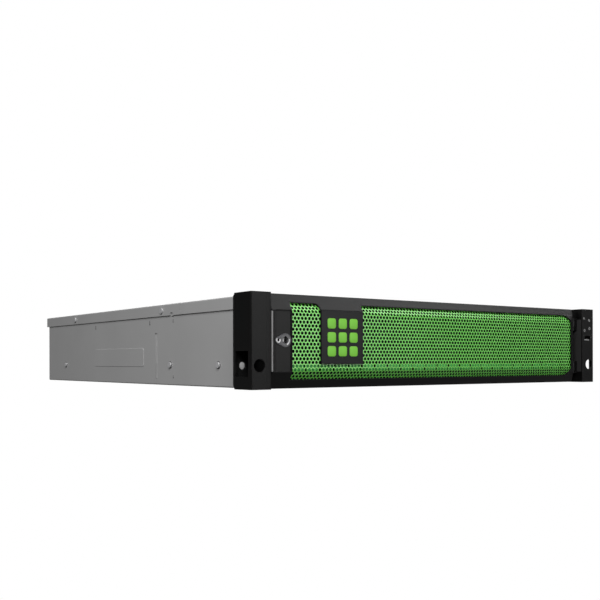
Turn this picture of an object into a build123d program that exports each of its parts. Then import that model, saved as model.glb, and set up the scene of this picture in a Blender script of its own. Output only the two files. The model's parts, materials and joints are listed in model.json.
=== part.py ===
"""Two-unit rack drive enclosure with a hinged, perforated bezel.

X runs to the right seen from the front, Y to the rear and Z up.
The origin is the middle of the footprint at the underside.
Depths are counted rearwards from the front plane of the rack ears.
"""
import os
from math import cos, pi, radians, sin, sqrt, tan

from build123d import *

# Enclosure
rack_width = 482.6
ear_width = 21.1
body_height = 87.0
chassis_depth = 574.0
sheet = 1.2
slip = 0.3
fold_radius = 1.5

# Rack ears
ear_cap_depth = 29.0
flange_thickness = 2.0
flange_leg_length = 30.0
flange_leg_margin = 6.0
cap_wall = 2.0
cap_inner_round = 5.0
cap_outer_round = 1.0
cap_rear_round = 4.0
rack_hole_inset = 8.75
unit_height = 44.45
rack_hole_height = 22.225
rack_hole_radius = 3.5
access_radius = 5.75
window_depths = (5.0, 27.0)
window_heights = (11.5, 34.5)

# Right ear controls
button_radius = 2.4
button_height = 9.0
button_travel = 1.0
button_tab = 1.2
power_button_place = (6.6, 23.0)
locate_button_place = (16.2, 25.4)
lens_radius = 1.1
lens_places = ((16.9, 12.0), (7.4, 13.8))
usb_place = (12.2, 34.2)
usb_width = 13.2
usb_height = 5.8
usb_depth = 14.0
usb_shell = 0.4
usb_tongue = (10.0, 1.2)
usb_tongue_drop = 1.0

# Covers
panel_split = 173.0
split_gap = 0.6
skirt_height = 12.5
skirt_gap = 0.1
cover_overhang = 5.0
lip_height = 1.0
notch_depth = 193.0
notch_width = 6.0
notch_height = 3.0
cover_screw_depths = (216.0, 470.0)
cover_screw_drop = 6.6
screw_head_radius = 3.2
screw_head_height = 1.4

# Side wall details
rail_stud_depths = (94.5, 198.0, 508.0)
rail_stud_height = 21.7
rail_stud_radius = 3.0
rail_stud_reach = 1.6
seam_depth = 231.0
seam_heights = (6.8, 54.0)
seam_width = 1.6
emboss_depths = (264.0, 406.0)
emboss_heights = (19.4, 40.8)
emboss_rise = 0.4
emboss_round = 3.0

# Bezel
bezel_depth = 12.0
bezel_wall = 2.0
bezel_left_gap = 0.7
bezel_right_gap = 8.2
bezel_edge_gap = 0.4
bezel_band = 15.4
bezel_lean = 32.0
end_wall_depth = 7.0
bezel_end_round = 14.0
opening_left = 21.9
opening_right = 3.0
opening_band = 8.1
opening_round = 14.0
tongue_round = 5.0
grille_thickness = 1.0
grille_lap = 1.5
grille_back = 10.0
grille_pitch = 12.0
grille_hole_side = 6.6
badge_size = 50.0
badge_left = 55.4
badge_base = 22.6
badge_thickness = 1.6
badge_clear = 1.0
lock_panel_recess = 1.0
lock_panel_inset = 3.6
lock_panel_edge = 0.9

# Bezel lock
lock_inset = 15.2
lock_height = 44.2
lock_radius = 5.2
lock_length = 8.0
lock_clearance = 0.05
key_ring_radii = (1.7, 3.0)
key_ring_depth = 2.5
escutcheon_thickness = 0.9
escutcheon_margin = 1.0
escutcheon_tail = 7.8
escutcheon_tail_radius = 2.9
cam_width = 7.0
cam_reach = 18.0
cam_thickness = 1.2
cam_slot_margin = 1.2
latch_width = 1.4
latch_heights = (15.8, 70.6)
latch_thickness = 6.0

# Bezel hinge
hinge_pin_radius = 1.5
hinge_gap = 0.3
hinge_offset = 2.8
hinge_depth = 11.0
hook_radius = 3.5
hook_height = 10.0
hook_arm = 5.6
hook_heights = (18.0, 69.0)
bracket_ear = 2.0
bracket_gap = 0.3
bracket_radius = 2.5

# Drive bays
bay_pitch = 17.0
bay_margin = 14.0
carrier_width = 16.5
carrier_front_depth = 20.0
carrier_front_thickness = 11.0
carrier_base = 5.0
vent_recess = 5.0
vent_base = 30.0
vent_drop = 8.0
release_band = (10.3, 17.3)
release_margin = 0.8
release_gap = 0.3
release_proud = 0.6
drive_thickness = 14.4
drive_height = 69.8
drive_length = 100.5
drive_back_gap = 4.0
sled_width = 14.4
cage_wall = 1.2
cage_front = 24.0
guide_rise = 2.0
guide_width = 1.6
cage_window = (10.0, 40.0)

# Midplane
connector_length = 5.0
connector_width = 6.0
connector_height = 34.0
connector_gap = 0.3
board_thickness = 2.4
board_slot = (10.0, 9.0)
board_slot_step = 4

# Rear bays
bay_frame_front = 372.0
psu_bay_width = 105.0
frame_wall = 1.2
module_gap = 0.3
module_depth = 198.0
face_reach = 1.0
module_wall = 1.5
face_block = 34.0

# Power supplies
fan_radius = 19.0
fan_tip_gap = 1.0
fan_hub_radius = 7.5
fan_depth = 22.0
fan_recess = 4.0
fan_blades = 7
fan_blade_thickness = 1.6
fan_blade_pitch = 38.0
fan_axle_radius = 2.0
fan_offset = (-20.0, 0.0)
axle_clearance = 0.05
guard_bar = 1.4
guard_step = 9.0
inlet_width = 27.4
inlet_height = 20.0
inlet_depth = 17.0
inlet_corner = 5.0
inlet_offset = (30.0, -22.0)
inlet_block = (16.0, 8.0)
handle_width = 40.0
handle_drop = 46.0
handle_bar = 6.0
handle_thickness = 5.0
handle_stand = 5.0
handle_top_drop = 13.0
handle_x = 30.0
handle_pin_radius = 1.5
lug_thickness = 3.0
lug_radius = 4.5

# Expander modules
sas_size = (19.0, 8.6)
sas_depth = 16.0
sas_margin = 27.3
sas_pitch = 24.0
sas_count = 4
rj_size = (13.0, 11.0)
rj_step = 28.0
port_height = 15.0
vent_slot = (3.0, 12.0)
vent_pitch = 7.0
vent_count = 6
vent_margin = 49.3
vent_depth = 8.0
lever_length = 92.0
lever_height = 6.0
lever_thickness = 4.0
lever_gap = 0.5
lever_stand = 1.0
lever_inset = 5.5
lever_drop = 5.5
lever_pin_radius = 1.6
lever_tip = 8.0

# Worked out from the above
lug_reach = handle_stand + handle_thickness / 2 + lug_radius
rear_face = chassis_depth + face_reach
overall_depth = rear_face + lug_reach
front_y = -overall_depth / 2
body_width = rack_width - 2 * ear_width
half_body = body_width / 2
rack_pitch = rack_width - 2 * rack_hole_inset
half_rack = rack_width / 2
flange_back = ear_cap_depth + flange_thickness
rack_hole_z = rack_hole_height - (2 * unit_height - body_height) / 2
wall_top = body_height - sheet
bay_count = int((body_width - 2 * bay_margin) / bay_pitch)
cage_half = bay_count * bay_pitch / 2 + cage_wall + slip
cage_floor = sheet + cage_wall
cage_ceiling = wall_top - cage_wall
carrier_height = body_height - 2 * carrier_base
carrier_top = carrier_base + carrier_height
vent_top = carrier_top - vent_drop
sled_front = carrier_front_depth + carrier_front_thickness
drive_front = sled_front + drive_back_gap
drive_back = drive_front + drive_length
drive_base = carrier_base + (carrier_height - drive_height) / 2
connector_front = drive_back + connector_gap
board_front = connector_front + connector_length
bezel_left = -half_body + bezel_left_gap
bezel_right = half_body - bezel_right_gap
bezel_base = bezel_edge_gap
bezel_top = body_height - bezel_edge_gap
hinge_x = bezel_right + hinge_offset
lock_x = -half_body + lock_inset
psu_bay_centre = half_body - sheet - frame_wall - psu_bay_width / 2
psu_bay_inner = psu_bay_centre - psu_bay_width / 2
module_bay_half = psu_bay_inner - frame_wall
module_half = module_bay_half - module_gap
first_port = sas_margin - module_half
rj_place = first_port + (sas_count - 1) * sas_pitch + rj_step
bay_floor = sheet + frame_wall
bay_ceiling = wall_top - frame_wall
bay_middle = (bay_floor + bay_ceiling) / 2
handle_height = body_height - handle_top_drop
handle_y = rear_face + handle_stand + handle_thickness / 2
lever_y = rear_face + lever_stand + lever_thickness / 2


def at(depth):
    """Y coordinate of a depth behind the front plane."""
    return front_y + depth


def facing(depth):
    """Plane that looks forward: X right and Z up, at a depth."""
    return Plane.XZ.offset(-at(depth))


def side_on(x):
    """Plane that looks to the right: Y rearwards and Z up."""
    return Plane.YZ.offset(x)


def level(height):
    """Plane that looks up, at a height."""
    return Plane.XY.offset(height)


def save(piece, name):
    """Label a finished piece and write it."""
    piece.label = name
    export_step(piece, f"parts/{name}.step")


def bar(x_range, z_range):
    """Rectangle between two X values and two Z values, in a facing sketch."""
    with Locations((sum(x_range) / 2, sum(z_range) / 2)):
        Rectangle(abs(x_range[1] - x_range[0]), z_range[1] - z_range[0])


def make_chassis_tray():
    """Folded floor and side walls, with stamped details on both sides."""
    with BuildPart() as tray:
        with BuildSketch(facing(flange_back)):
            bar((-half_body, half_body), (0, wall_top))
            fillet(vertices().group_by(Axis.Y)[0], fold_radius)
            with Locations((0, sheet + wall_top / 2)):
                Rectangle(2 * (half_body - sheet), wall_top, mode=Mode.SUBTRACT)
        extrude(amount=-(chassis_depth - flange_back))
        with BuildSketch(facing(carrier_front_depth)):
            bar((-cage_half, cage_half), (0, sheet))
        extrude(amount=-(flange_back - carrier_front_depth))
        for side in (-1, 1):
            with BuildSketch(side_on(side * half_body)):
                with Locations((at(sum(emboss_depths) / 2), sum(emboss_heights) / 2)):
                    emboss_length = emboss_depths[1] - emboss_depths[0]
                    RectangleRounded(emboss_length, emboss_heights[1] - emboss_heights[0], emboss_round)
            extrude(amount=side * emboss_rise, taper=45)
            with BuildSketch(side_on(side * half_body)):
                with Locations((at(seam_depth), sum(seam_heights) / 2)):
                    Rectangle(seam_width, seam_heights[1] - seam_heights[0])
            extrude(amount=side * emboss_rise)
    save(tray.part, "chassis_tray")


def make_front_top_panel():
    """Fixed top panel between the ears and the removable cover."""
    outer = half_body + skirt_gap + sheet
    panel_back = panel_split - split_gap / 2
    with BuildPart() as panel:
        with BuildSketch(facing(flange_back)):
            bar((-outer, outer), (body_height - skirt_height, body_height))
            fillet(vertices().group_by(Axis.Y)[-1], fold_radius)
            inner = half_body + skirt_gap
            with Locations((0, wall_top - skirt_height / 2)):
                Rectangle(2 * inner, skirt_height, mode=Mode.SUBTRACT)
        extrude(amount=-(panel_back - flange_back))
        with BuildSketch(facing(carrier_front_depth)):
            bar((-cage_half, cage_half), (wall_top, body_height))
        extrude(amount=-(flange_back - carrier_front_depth))
    save(panel.part, "front_top_panel")


def make_rear_cover():
    """Removable cover with full-length skirts and a short rear lip."""
    outer = half_body + skirt_gap + sheet
    inner = half_body + skirt_gap
    cover_front = panel_split + split_gap / 2
    cover_back = chassis_depth + cover_overhang
    with BuildPart() as cover:
        with BuildSketch(facing(cover_front)):
            bar((-outer, outer), (body_height - skirt_height, body_height))
            fillet(vertices().group_by(Axis.Y)[-1], fold_radius)
            with Locations((0, wall_top - skirt_height / 2)):
                Rectangle(2 * inner, skirt_height, mode=Mode.SUBTRACT)
        extrude(amount=-(cover_back - cover_front))
        with BuildSketch(facing(cover_back - sheet)):
            bar((-inner, inner), (wall_top - lip_height, wall_top))
        extrude(amount=-sheet)
        with BuildSketch(side_on(-outer)):
            with Locations((at(notch_depth), body_height - skirt_height + notch_height / 2)):
                Rectangle(notch_width, notch_height)
        extrude(amount=2 * outer, mode=Mode.SUBTRACT)
    save(cover.part, "rear_cover")


def make_cover_screws():
    """Heads of the screws that hold the rear cover's skirts."""
    outer = half_body + skirt_gap + sheet
    with BuildPart() as screws:
        for side in (-1, 1):
            for depth in cover_screw_depths:
                with BuildSketch(side_on(side * outer)):
                    with Locations((at(depth), body_height - cover_screw_drop)):
                        Circle(screw_head_radius)
                extrude(amount=side * screw_head_height)
    save(screws.part, "cover_screws")


def make_rail_studs():
    """Studs that hook into the rack rails, three on each side."""
    with BuildPart() as studs:
        for side in (-1, 1):
            for depth in rail_stud_depths:
                with BuildSketch(side_on(side * half_body)):
                    with Locations((at(depth), rail_stud_height)):
                        Circle(rail_stud_radius)
                extrude(amount=side * rail_stud_reach)
    save(studs.part, "rail_studs")


def make_rack_flange(side, name):
    """Angle bracket: drilled flange behind the ear cap, leg inside the side wall."""
    leg = half_body - sheet
    with BuildPart() as flange:
        with BuildSketch(level(0)):
            with BuildLine():
                Polyline(
                    (side * half_rack, at(ear_cap_depth)),
                    (side * half_rack, at(flange_back)),
                    (side * leg, at(flange_back)),
                    (side * leg, at(flange_back + flange_leg_length)),
                    (side * (leg - flange_thickness), at(flange_back + flange_leg_length)),
                    (side * (leg - flange_thickness), at(ear_cap_depth)),
                    close=True,
                )
            make_face()
        extrude(amount=body_height)
        with BuildSketch(side_on(0)):
            for band in ((0, flange_leg_margin), (body_height - flange_leg_margin, body_height)):
                with Locations((at(flange_back) + flange_leg_length / 2, sum(band) / 2)):
                    Rectangle(flange_leg_length, band[1] - band[0])
        extrude(amount=side * half_body, mode=Mode.SUBTRACT)
        with BuildSketch(facing(ear_cap_depth)):
            with Locations((side * rack_pitch / 2, rack_hole_z)):
                Circle(rack_hole_radius)
        extrude(amount=-flange_thickness, mode=Mode.SUBTRACT)
        flange_edges = flange.edges().filter_by(Axis.Y).group_by(Axis.X)[-1 if side > 0 else 0]
        fillet(flange_edges, cap_rear_round)
    save(flange.part, name)


def cam_slot():
    """Slot that the lock's cam swings through, in a sketch that faces sideways."""
    tip = cam_reach + cam_width / 2
    drop = sqrt(tip ** 2 - lock_inset ** 2) + cam_slot_margin
    rise = cam_width / 2 + cam_slot_margin
    with Locations((at(lock_length + cam_thickness / 2), lock_height + (rise - drop) / 2)):
        Rectangle(cam_thickness + 2 * cam_slot_margin, rise + drop)


def make_ear_cap(side, name, has_controls):
    """Moulded cap over the rack flange, open at the back."""
    inner = half_body
    wide = half_rack - inner
    with BuildPart() as cap:
        with BuildSketch(level(0)):
            with Locations((side * (inner + wide / 2), at(ear_cap_depth / 2))):
                Rectangle(wide, ear_cap_depth)
            front = vertices().group_by(Axis.Y)[0].sort_by(Axis.X)
            fillet(front[0 if side > 0 else -1], cap_inner_round)
            front = vertices().group_by(Axis.Y)[0].sort_by(Axis.X)
            fillet(front[-1 if side > 0 else 0], cap_outer_round)
        extrude(amount=body_height)
        with BuildSketch(level(cap_wall)):
            with Locations((side * (inner + wide / 2), at(cap_wall + ear_cap_depth / 2))):
                Rectangle(wide - 2 * cap_wall, ear_cap_depth)
            front = vertices().group_by(Axis.Y)[0].sort_by(Axis.X)
            fillet(front[0 if side > 0 else -1], cap_inner_round - cap_wall)
        extrude(amount=body_height - 2 * cap_wall, mode=Mode.SUBTRACT)
        with BuildSketch(facing(0)):
            with Locations((side * rack_pitch / 2, rack_hole_z)):
                Circle(access_radius)
        extrude(amount=-2 * cap_wall, mode=Mode.SUBTRACT)
        with BuildSketch(side_on(side * half_rack)):
            with Locations((at(sum(window_depths) / 2), sum(window_heights) / 2)):
                Rectangle(window_depths[1] - window_depths[0], window_heights[1] - window_heights[0])
        extrude(amount=-side * 2 * cap_wall, mode=Mode.SUBTRACT)
        if has_controls:
            with BuildSketch(facing(0)):
                for place in (power_button_place, locate_button_place):
                    with Locations(ear_place(place)):
                        Circle(button_radius + slip)
                for place in lens_places:
                    with Locations(ear_place(place)):
                        Circle(lens_radius)
                with Locations(ear_place(usb_place)):
                    Rectangle(usb_width, usb_height)
            extrude(amount=-2 * cap_wall, mode=Mode.SUBTRACT)
        else:
            with BuildSketch(side_on(side * inner)):
                cam_slot()
            extrude(amount=side * 2 * cap_wall, mode=Mode.SUBTRACT)
        rear_edges = cap.edges().filter_by(Axis.X).group_by(Axis.Y)[-1]
        rear_edges = rear_edges.group_by(Axis.X)[-1 if side > 0 else 0]
        fillet(rear_edges.group_by(Axis.Z)[0] + rear_edges.group_by(Axis.Z)[-1], cap_wall / 2)
    save(cap.part, name)


def ear_place(place):
    """X and Z of a control, from its distances to the right ear's outer edge and top."""
    return half_rack - place[0], body_height - place[1]


def make_ear_controls():
    """Push buttons, light pipes and service port of the right ear."""
    for place, name in ((power_button_place, "power_button"), (locate_button_place, "locate_button")):
        with BuildPart() as button:
            with BuildSketch(facing(0)):
                with Locations(ear_place(place)):
                    Circle(button_radius)
            extrude(amount=-button_height)
            chamfer(button.edges().group_by(Axis.Y)[0], button_radius / 8)
            with BuildSketch(facing(cap_wall + button_travel + slip)):
                with Locations(ear_place(place)):
                    Rectangle(button_radius, 2 * (button_radius + button_tab))
            extrude(amount=-button_travel)
        save(button.part, name)
    with BuildPart() as lenses:
        with BuildSketch(facing(0)):
            for place in lens_places:
                with Locations(ear_place(place)):
                    Circle(lens_radius)
        extrude(amount=-2 * cap_wall)
    save(lenses.part, "indicator_lenses")
    with BuildPart() as port:
        with BuildSketch(facing(0)):
            with Locations(ear_place(usb_place)):
                Rectangle(usb_width, usb_height)
                Rectangle(usb_width - 2 * usb_shell, usb_height - 2 * usb_shell, mode=Mode.SUBTRACT)
        extrude(amount=-usb_depth)
        with BuildSketch(facing(usb_depth)):
            with Locations(ear_place(usb_place)):
                Rectangle(usb_width, usb_height)
        extrude(amount=-usb_shell)
        with BuildSketch(facing(usb_shell)):
            x, z = ear_place(usb_place)
            with Locations((x, z + usb_height / 2 - usb_shell - usb_tongue_drop)):
                Rectangle(usb_tongue[0], usb_tongue[1])
        extrude(amount=-usb_depth)
    save(port.part, "usb_port")


def bezel_form(inset, back):
    """Solid form of the bezel, set in from its outer faces: leaning bands and a rounded right end."""
    lean = radians(bezel_lean)
    corner = inset * tan(lean / 2)
    run = (bezel_band - inset + corner) * tan(lean)
    base = bezel_base + inset
    top = bezel_top - inset
    low_bend = bezel_base + bezel_band + corner
    high_bend = bezel_top - bezel_band - corner
    left = bezel_left + inset
    right = bezel_right - inset
    with BuildPart() as form:
        with BuildSketch(side_on(left)):
            with BuildLine():
                Polyline(
                    (at(back), base),
                    (at(inset + run), base),
                    (at(inset), low_bend),
                    (at(inset), high_bend),
                    (at(inset + run), top),
                    (at(back), top),
                    close=True,
                )
            make_face()
        extrude(amount=right - left)
        with BuildSketch(level(0)):
            with Locations(((left + right) / 2, at((inset + back + bezel_end_round) / 2))):
                Rectangle(right - left, back + bezel_end_round - inset)
            corner_point = vertices().group_by(Axis.Y)[0].sort_by(Axis.X)[-1]
            fillet(corner_point, bezel_end_round - inset)
        extrude(amount=body_height, mode=Mode.INTERSECT)
    return form.part


def make_bezel_frame():
    """Moulded frame with the grille opening, lock panel and two hinge hooks."""
    outer = bezel_form(0, bezel_depth)
    hollow = bezel_form(bezel_wall, bezel_depth + bezel_wall)
    opening_x, opening_z = opening_spans()
    panel_x = (bezel_left + lock_panel_inset, opening_x[0] - lock_panel_edge)
    badge_x = badge_span()
    bend_z = (bezel_base + bezel_band, bezel_top - bezel_band)
    with BuildPart() as frame:
        add(outer)
        add(hollow, mode=Mode.SUBTRACT)
        with BuildSketch(facing(0)) as opening:
            bar(opening_x, opening_z)
            fillet(opening.vertices().group_by(Axis.X)[-1], opening_round)
            with Locations((sum(badge_x) / 2, badge_base + badge_size + body_height / 2)):
                Rectangle(badge_size, body_height, mode=Mode.SUBTRACT)
            fillet(opening.vertices().sort_by_distance((badge_x[0], opening_z[1]))[0], tongue_round)
        extrude(amount=-(grille_back + bezel_wall), mode=Mode.SUBTRACT)
        with BuildSketch(facing(0)):
            bar(panel_x, (bend_z[0], bend_z[1]))
        extrude(amount=-lock_panel_recess, mode=Mode.SUBTRACT)
        with BuildSketch(facing(lock_panel_recess)):
            bar((panel_x[0], opening_x[0] - grille_lap - slip), bend_z)
        extrude(amount=-bezel_wall)
        with BuildSketch(facing(0)):
            with Locations((lock_x, lock_height)):
                Circle(lock_radius + lock_clearance)
        extrude(amount=-2 * bezel_depth, mode=Mode.SUBTRACT)
        with BuildSketch(facing(0)):
            bar((bezel_left, bezel_left + latch_width + slip), latch_heights)
        extrude(amount=-(latch_thickness + slip), mode=Mode.SUBTRACT)
        with BuildSketch(facing(end_wall_depth)):
            bar((bezel_left, bezel_left + bezel_wall), (bezel_base + bezel_wall, bezel_top - bezel_wall))
        extrude(amount=-bezel_depth, mode=Mode.SUBTRACT)
        for height in hook_heights:
            with BuildSketch(level(height - hook_height / 2)):
                with Locations((hinge_x, at(hinge_depth))):
                    Circle(hook_radius)
                with Locations(((bezel_right - bezel_wall + hinge_x) / 2, at(hinge_depth))):
                    Rectangle(hinge_x - bezel_right + bezel_wall, hook_arm)
                with Locations((hinge_x, at(hinge_depth))):
                    Circle(hinge_pin_radius + hinge_gap, mode=Mode.SUBTRACT)
                gap_y = at(hinge_depth + hook_radius)
                with Locations((hinge_x + hook_radius / 2, gap_y)):
                    Rectangle(hook_radius, 2 * hook_radius, mode=Mode.SUBTRACT)
            extrude(amount=hook_height)
    save(frame.part, "bezel_frame")


def opening_spans():
    """X and Z ranges of the grille opening."""
    spans_x = (bezel_left + opening_left, bezel_right - opening_right)
    return spans_x, (bezel_base + opening_band, bezel_top - opening_band)


def badge_span():
    """X range of the badge plate."""
    left = -half_body + badge_left
    return left, left + badge_size


def make_bezel_grille():
    """Bent, perforated sheet that lines the bezel's opening."""
    outer = bezel_form(bezel_wall, bezel_depth)
    inner = bezel_form(bezel_wall + grille_thickness, bezel_depth + grille_thickness)
    opening_x, opening_z = opening_spans()
    badge_x = badge_span()
    span = opening_x[1] - opening_x[0]
    row_step = grille_pitch * sin(pi / 3)
    rows = int((opening_z[1] - opening_z[0]) / row_step)
    columns = int(span / grille_pitch)
    reach = grille_hole_side * sin(pi / 4)
    places = []
    for row in range(rows):
        z = (opening_z[0] + opening_z[1]) / 2 + (row - (rows - 1) / 2) * row_step
        shift = grille_pitch / 2 * (row % 2)
        for column in range(columns):
            x = opening_x[0] + reach + badge_clear + column * grille_pitch + shift
            beside_badge = x + reach < badge_x[0] - badge_clear or x - reach > badge_x[1] + badge_clear
            below_badge = z + reach < badge_base
            if x + reach < opening_x[1] - badge_clear and (beside_badge or below_badge):
                places.append((x, z))
    with BuildPart() as grille:
        add(outer)
        add(inner, mode=Mode.SUBTRACT)
        with BuildSketch(facing(0)) as kept:
            kept_z = (opening_z[0] - grille_lap, opening_z[1] + grille_lap)
            bar((opening_x[0] - grille_lap, bezel_right), kept_z)
        extrude(amount=-grille_back, mode=Mode.INTERSECT)
        with BuildSketch(facing(0)):
            with Locations(*places):
                Rectangle(grille_hole_side, grille_hole_side, rotation=45)
        extrude(amount=-grille_back, mode=Mode.SUBTRACT)
    save(grille.part, "bezel_grille")


def make_badge_plate():
    """Plain square plate in front of the grille, with a chamfered edge."""
    badge_x = badge_span()
    with BuildPart() as plate:
        with BuildSketch(facing(bezel_wall - badge_thickness)):
            bar(badge_x, (badge_base, badge_base + badge_size))
        extrude(amount=-badge_thickness)
        chamfer(plate.faces().sort_by(Axis.Y)[0].edges(), badge_thickness / 4)
    save(plate.part, "badge_plate")


def make_latch_plate():
    """Steel strip along the bezel's free end, which meets the left ear."""
    with BuildPart() as latch:
        with BuildSketch(facing(0)):
            bar((bezel_left, bezel_left + latch_width), (latch_heights[0] + slip, latch_heights[1] - slip))
        extrude(amount=-latch_thickness)
        chamfer(latch.faces().sort_by(Axis.Y)[0].edges().filter_by(Axis.Z), latch_width / 5)
    save(latch.part, "latch_plate")


def make_lock():
    """Keyed barrel with its cam, and the pear-shaped plate round the barrel."""
    tail_x = lock_x - escutcheon_tail
    margin = lock_radius + escutcheon_margin
    front = lock_panel_recess - escutcheon_thickness
    with BuildPart() as escutcheon:
        with BuildSketch(facing(front)):
            with Locations((lock_x, lock_height)):
                Circle(margin)
            with Locations((tail_x, lock_height)):
                Circle(escutcheon_tail_radius)
            make_hull()
            with Locations((lock_x, lock_height)):
                Circle(lock_radius + lock_clearance, mode=Mode.SUBTRACT)
            with Locations((tail_x, lock_height)):
                Circle(escutcheon_tail_radius / 2, mode=Mode.SUBTRACT)
        extrude(amount=-escutcheon_thickness)
    save(escutcheon.part, "lock_escutcheon")
    with BuildPart() as barrel:
        with BuildSketch(facing(0)):
            with Locations((lock_x, lock_height)):
                Circle(lock_radius)
        extrude(amount=-lock_length)
        with BuildSketch(facing(0)):
            with Locations((lock_x, lock_height)):
                Circle(key_ring_radii[1])
                Circle(key_ring_radii[0], mode=Mode.SUBTRACT)
                with Locations((0, key_ring_radii[1])):
                    Rectangle(key_ring_radii[0], key_ring_radii[0])
        extrude(amount=-key_ring_depth, mode=Mode.SUBTRACT)
    save(barrel.part, "lock_barrel")
    with BuildPart() as cam:
        with BuildSketch(facing(lock_length)):
            with Locations((lock_x, lock_height)):
                Circle(lock_radius)
            with Locations((lock_x, lock_height - cam_reach / 2)):
                Rectangle(cam_width, cam_reach)
            with Locations((lock_x, lock_height - cam_reach)):
                Circle(cam_width / 2)
        extrude(amount=-cam_thickness)
    save(cam.part, "lock_cam")


def make_hinge_brackets():
    """Brackets on the right ear's inner wall, each with a pin for a bezel hook."""
    plate_face = half_body
    ear_span = hook_height / 2 + bracket_gap
    with BuildPart() as brackets:
        for height in hook_heights:
            with BuildSketch(level(height - ear_span - bracket_ear)):
                with Locations(((hinge_x + hook_radius + bracket_gap + plate_face) / 2, at(hinge_depth))):
                    Rectangle(plate_face - hinge_x - hook_radius - bracket_gap, 2 * hook_radius)
            extrude(amount=2 * (ear_span + bracket_ear))
            for start in (height - ear_span - bracket_ear, height + ear_span):
                with BuildSketch(level(start)):
                    with Locations((hinge_x, at(hinge_depth))):
                        Circle(bracket_radius)
                    with Locations(((hinge_x + plate_face) / 2, at(hinge_depth))):
                        Rectangle(plate_face - hinge_x, 2 * bracket_radius)
                extrude(amount=bracket_ear)
            with BuildSketch(level(height - ear_span)):
                with Locations((hinge_x, at(hinge_depth))):
                    Circle(hinge_pin_radius)
            extrude(amount=2 * ear_span)
    save(brackets.part, "hinge_brackets")


def make_drive_cage():
    """Rectangular sheet cage with guide ribs between the drive bays."""
    base = sheet
    top = wall_top
    rib = guide_rise + cage_wall
    with BuildPart() as cage:
        with BuildSketch(facing(cage_front)):
            bar((-cage_half, cage_half), (base, top))
            with Locations((0, (base + top) / 2)):
                Rectangle(2 * (cage_half - cage_wall), top - base - 2 * cage_wall, mode=Mode.SUBTRACT)
            for index in range(1, bay_count):
                x = (index - bay_count / 2) * bay_pitch
                bar((x - guide_width / 2, x + guide_width / 2), (base, base + rib))
                bar((x - guide_width / 2, x + guide_width / 2), (top - rib, top))
        extrude(amount=-(board_front - cage_front))
        with BuildSketch(side_on(-cage_half)):
            for band in range(5):
                depth = cage_front + cage_window[0] * (1.5 + 2 * band)
                with Locations((at(depth), (base + top) / 2)):
                    Rectangle(cage_window[0], cage_window[1])
        extrude(amount=2 * cage_half, mode=Mode.SUBTRACT)
    save(cage.part, "drive_cage")


def make_drive_carriers():
    """Hot-swap carriers: moulded front, release button, sled rails and drive."""
    for index in range(bay_count):
        centre = (index - (bay_count - 1) / 2) * bay_pitch
        left = centre - carrier_width / 2
        with BuildPart() as carrier:
            with BuildSketch(side_on(left)):
                with BuildLine():
                    Polyline(
                        (at(carrier_front_depth), carrier_base),
                        (at(sled_front), carrier_base),
                        (at(sled_front), carrier_top),
                        (at(carrier_front_depth), carrier_top),
                        (at(carrier_front_depth), vent_top),
                        (at(carrier_front_depth + vent_recess), vent_top - vent_recess),
                        (at(carrier_front_depth + vent_recess), vent_base + vent_recess),
                        (at(carrier_front_depth), vent_base),
                        close=True,
                    )
                make_face()
            extrude(amount=carrier_width)
            button_z = (carrier_base + release_band[0], carrier_base + release_band[1])
            button_half = carrier_width / 2 - release_margin
            with BuildSketch(facing(carrier_front_depth)):
                bar((centre - button_half, centre + button_half), button_z)
            extrude(amount=-vent_recess, mode=Mode.SUBTRACT)
            with BuildSketch(facing(carrier_front_depth - release_proud)):
                edge = button_half - release_gap
                bar((centre - edge, centre + edge), (button_z[0] + release_gap, button_z[1] - release_gap))
            extrude(amount=-(vent_recess + release_proud))
            with BuildSketch(side_on(centre - sled_width / 2)):
                rail_back = drive_back - drive_back_gap
                rail_length = rail_back - sled_front
                drive_top = drive_base + drive_height
                for rail in ((cage_floor + slip, drive_base), (drive_top, cage_ceiling - slip)):
                    with Locations((at(sled_front + rail_length / 2), sum(rail) / 2)):
                        Rectangle(rail_length, rail[1] - rail[0])
            extrude(amount=sled_width)
            with BuildSketch(side_on(centre - drive_thickness / 2)):
                with Locations((at(drive_front + drive_length / 2), drive_base + drive_height / 2)):
                    Rectangle(drive_length, drive_height)
            extrude(amount=drive_thickness)
        save(carrier.part, f"drive_carrier_{index + 1:02d}")


def make_midplane():
    """Circuit board behind the drives, with one connector for each bay."""
    with BuildPart() as board:
        with BuildSketch(facing(board_front)):
            bar((-cage_half, cage_half), (bay_floor, bay_ceiling))
            for index in range(board_slot_step, bay_count, board_slot_step):
                x = (index - bay_count / 2) * bay_pitch
                for z in (board_slot[1] + bay_floor, bay_ceiling - board_slot[1]):
                    with Locations((x, z)):
                        Rectangle(board_slot[0], board_slot[1], mode=Mode.SUBTRACT)
        extrude(amount=-board_thickness)
    save(board.part, "midplane_board")
    with BuildPart() as connectors:
        with BuildSketch(facing(connector_front)):
            for index in range(bay_count):
                x = (index - (bay_count - 1) / 2) * bay_pitch
                with Locations((x, bay_middle)):
                    Rectangle(connector_width, connector_height)
        extrude(amount=-connector_length)
    save(connectors.part, "midplane_connectors")


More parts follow.
